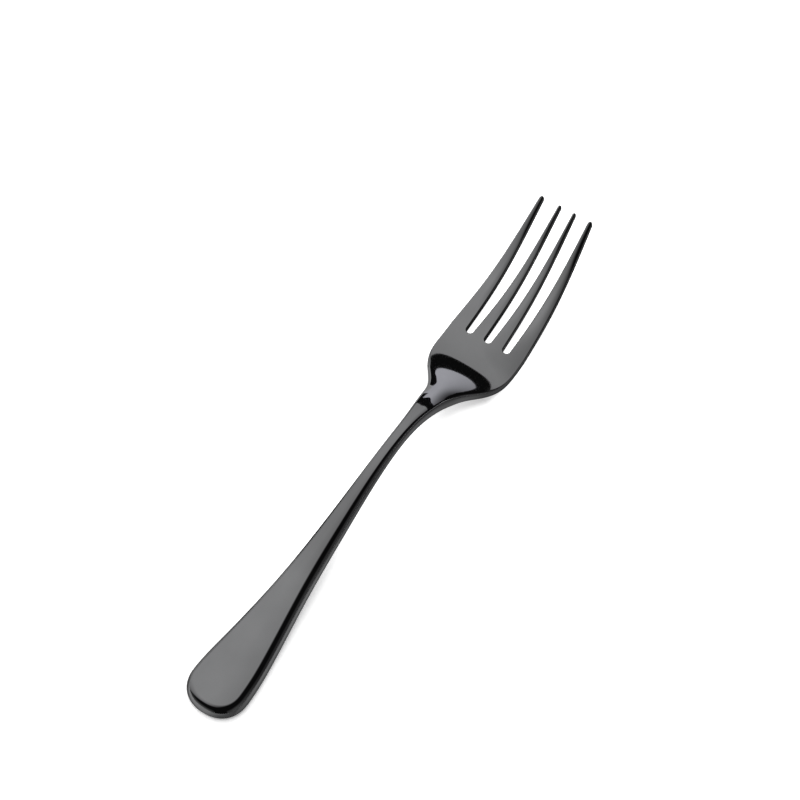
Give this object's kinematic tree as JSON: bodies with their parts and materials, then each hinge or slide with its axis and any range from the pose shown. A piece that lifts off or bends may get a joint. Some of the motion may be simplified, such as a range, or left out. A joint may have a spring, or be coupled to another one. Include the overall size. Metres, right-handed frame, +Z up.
{
  "type": "dessert fork",
  "caption": "Slim black-finished steel dessert fork with a spatulate rounded handle, narrow arched neck, flared head and curved tapering tines.",
  "frame": {"origin": "on the table, under the middle of the fork's length and width", "axes": "+X from the handle end to the tine tips, +Y to the fork's left, +Z up, with the tines curving up"},
  "size_m": [0.185, 0.0256, 0.0197],
  "materials": {
    "black_steel": "stainless steel, mirror polished, with a thin black vapour-deposited coat"
  },
  "bodies": {
    "root": {"handle": "black_steel", "neck": "black_steel", "head": "black_steel", "tine_outer_left": "black_steel", "tine_inner_left": "black_steel", "tine_inner_right": "black_steel", "tine_outer_right": "black_steel"}
  },
  "joints": []
}
